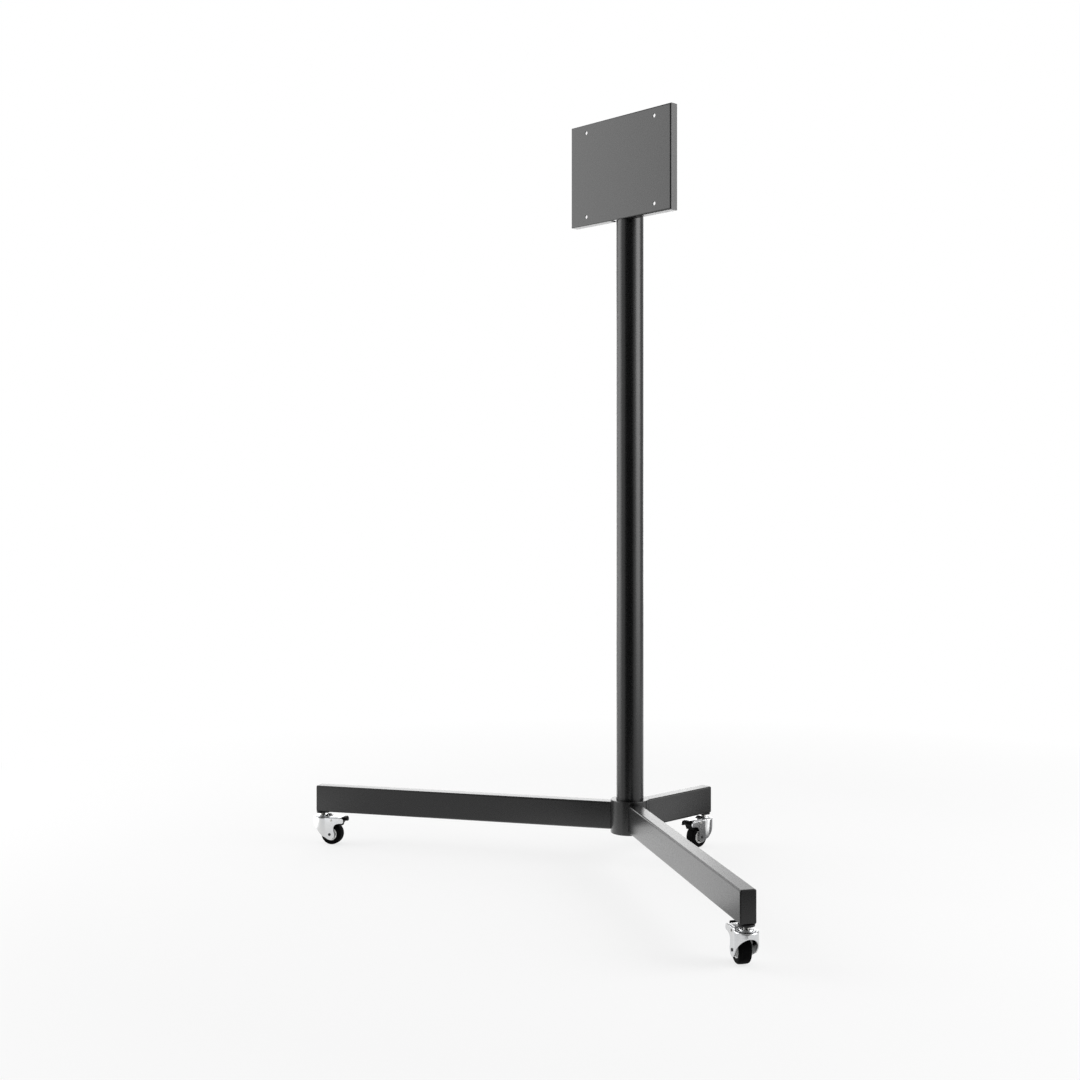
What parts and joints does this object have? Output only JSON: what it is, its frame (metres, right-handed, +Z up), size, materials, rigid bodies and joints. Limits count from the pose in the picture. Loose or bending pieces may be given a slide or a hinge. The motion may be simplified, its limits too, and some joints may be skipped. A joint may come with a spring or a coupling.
{
  "type": "display floor stand",
  "caption": "Wheeled floor stand: a drilled mounting plate with folded edges on a round column, over a low three-legged base on braked swivel castors.",
  "frame": {"origin": "centre of the footprint on the floor, under the tyres", "axes": "+Z up; the mounting plate faces -Y; X runs across the plate, and the stand is symmetric about X = 0"},
  "size_m": [1.3206, 0.6561, 1.6372],
  "materials": {
    "powder_coat": "anthracite powder coat, satin, with a fine texture",
    "zinc_plate": "bright zinc-plated pressed steel",
    "fastener_steel": "zinc-plated fastener steel",
    "black_steel": "black oxide steel",
    "tyre_rubber": "smooth black rubber tread",
    "white_plastic": "moulded white polyamide",
    "black_plastic": "moulded black plastic"
  },
  "bodies": {
    "stand": {"base_hub": "powder_coat", "column": "powder_coat", "column_cap": "black_plastic", "column_foot_plug": "fastener_steel", "base_washer": "fastener_steel", "base_bolt": "fastener_steel", "mount_plate": "powder_coat", "upper_saddle": "powder_coat", "lower_saddle": "powder_coat", "upper_left_saddle_nut": "fastener_steel", "upper_right_saddle_nut": "fastener_steel", "lower_left_saddle_nut": "fastener_steel", "lower_right_saddle_nut": "fastener_steel", "left_leg": "powder_coat", "left_end_plate": "powder_coat", "left_lock_disc": "black_steel", "left_stem": "fastener_steel", "left_stem_nut": "fastener_steel", "left_upper_race": "zinc_plate", "right_leg": "powder_coat", "right_end_plate": "powder_coat", "right_lock_disc": "black_steel", "right_stem": "fastener_steel", "right_stem_nut": "fastener_steel", "right_upper_race": "zinc_plate", "rear_leg": "powder_coat", "rear_end_plate": "powder_coat", "rear_lock_disc": "black_steel", "rear_stem": "fastener_steel", "rear_stem_nut": "fastener_steel", "rear_upper_race": "zinc_plate"},
    "left_castor": {"left_fork": "zinc_plate", "left_ball_ring": "fastener_steel", "left_axle": "black_steel", "left_wheel_bush": "fastener_steel", "left_lever_pin": "fastener_steel"},
    "left_wheel": {"left_rim": "white_plastic", "left_tyre": "tyre_rubber"},
    "left_brake": {"left_brake_lever": "zinc_plate", "left_brake_pedal": "black_plastic"},
    "right_castor": {"right_fork": "zinc_plate", "right_ball_ring": "fastener_steel", "right_axle": "black_steel", "right_wheel_bush": "fastener_steel", "right_lever_pin": "fastener_steel"},
    "right_wheel": {"right_rim": "white_plastic", "right_tyre": "tyre_rubber"},
    "right_brake": {"right_brake_lever": "zinc_plate", "right_brake_pedal": "black_plastic"},
    "rear_castor": {"rear_fork": "zinc_plate", "rear_ball_ring": "fastener_steel", "rear_axle": "black_steel", "rear_wheel_bush": "fastener_steel", "rear_lever_pin": "fastener_steel"},
    "rear_wheel": {"rear_rim": "white_plastic", "rear_tyre": "tyre_rubber"},
    "rear_brake": {"rear_brake_lever": "zinc_plate", "rear_brake_pedal": "black_plastic"}
  },
  "joints": [
    {"name": "left_swivel", "type": "hinge", "parent": "stand", "child": "left_castor", "pos_m": [-0.63869, -0.30638, 0.064], "axis": [0, 0, 1], "continuous": true},
    {"name": "left_wheel_spin", "type": "hinge", "parent": "left_castor", "child": "left_wheel", "pos_m": [-0.61774, -0.29428, 0.025], "axis": [-0.5, 0.866, 0], "continuous": true},
    {"name": "left_brake_press", "type": "hinge", "parent": "left_castor", "child": "left_brake", "pos_m": [-0.61427, -0.29228, 0.0575], "axis": [-0.5, 0.866, 0], "range_deg": [0, 8]},
    {"name": "right_swivel", "type": "hinge", "parent": "stand", "child": "right_castor", "pos_m": [0.63869, -0.30638, 0.064], "axis": [0, 0, 1], "continuous": true},
    {"name": "right_wheel_spin", "type": "hinge", "parent": "right_castor", "child": "right_wheel", "pos_m": [0.61774, -0.29428, 0.025], "axis": [-0.5, -0.866, 0], "continuous": true},
    {"name": "right_brake_press", "type": "hinge", "parent": "right_castor", "child": "right_brake", "pos_m": [0.61427, -0.29228, 0.0575], "axis": [-0.5, -0.866, 0], "range_deg": [0, 8]},
    {"name": "rear_swivel", "type": "hinge", "parent": "stand", "child": "rear_castor", "pos_m": [0, 0.30638, 0.064], "axis": [0, 0, 1], "continuous": true},
    {"name": "rear_wheel_spin", "type": "hinge", "parent": "rear_castor", "child": "rear_wheel", "pos_m": [0, 0.28218, 0.025], "axis": [1, 0, 0], "continuous": true},
    {"name": "rear_brake_press", "type": "hinge", "parent": "rear_castor", "child": "rear_brake", "pos_m": [0, 0.27818, 0.0575], "axis": [1, 0, 0], "range_deg": [0, 8]}
  ]
}
